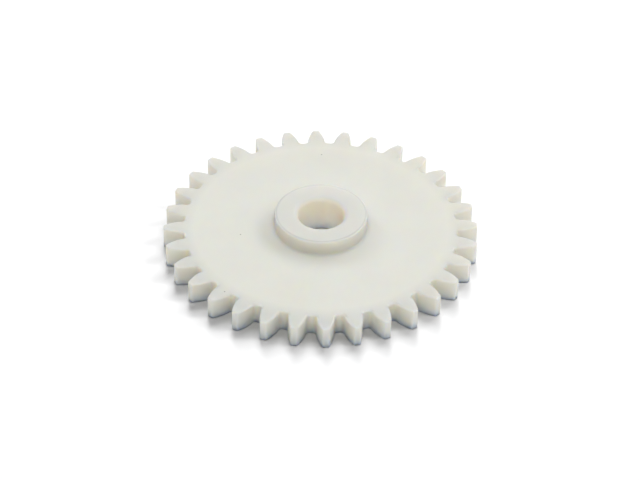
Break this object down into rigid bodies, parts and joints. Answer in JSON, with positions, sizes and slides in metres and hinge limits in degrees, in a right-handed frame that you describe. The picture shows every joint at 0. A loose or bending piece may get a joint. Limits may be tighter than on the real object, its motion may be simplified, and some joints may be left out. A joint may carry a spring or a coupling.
{
  "type": "spur gear",
  "caption": "Flat one-piece spur gear in milky natural nylon, with straight involute teeth, a short round hub on one side and a plain round bore.",
  "frame": {"origin": "centre of the bore on the flat back face", "axes": "+Z along the bore axis, out of the hub; one tooth is centred on +X"},
  "size_m": [0.068, 0.068, 0.0085],
  "materials": {
    "nylon": "satin, slightly translucent natural nylon"
  },
  "bodies": {
    "root": {"spur_gear": "nylon"}
  },
  "joints": []
}
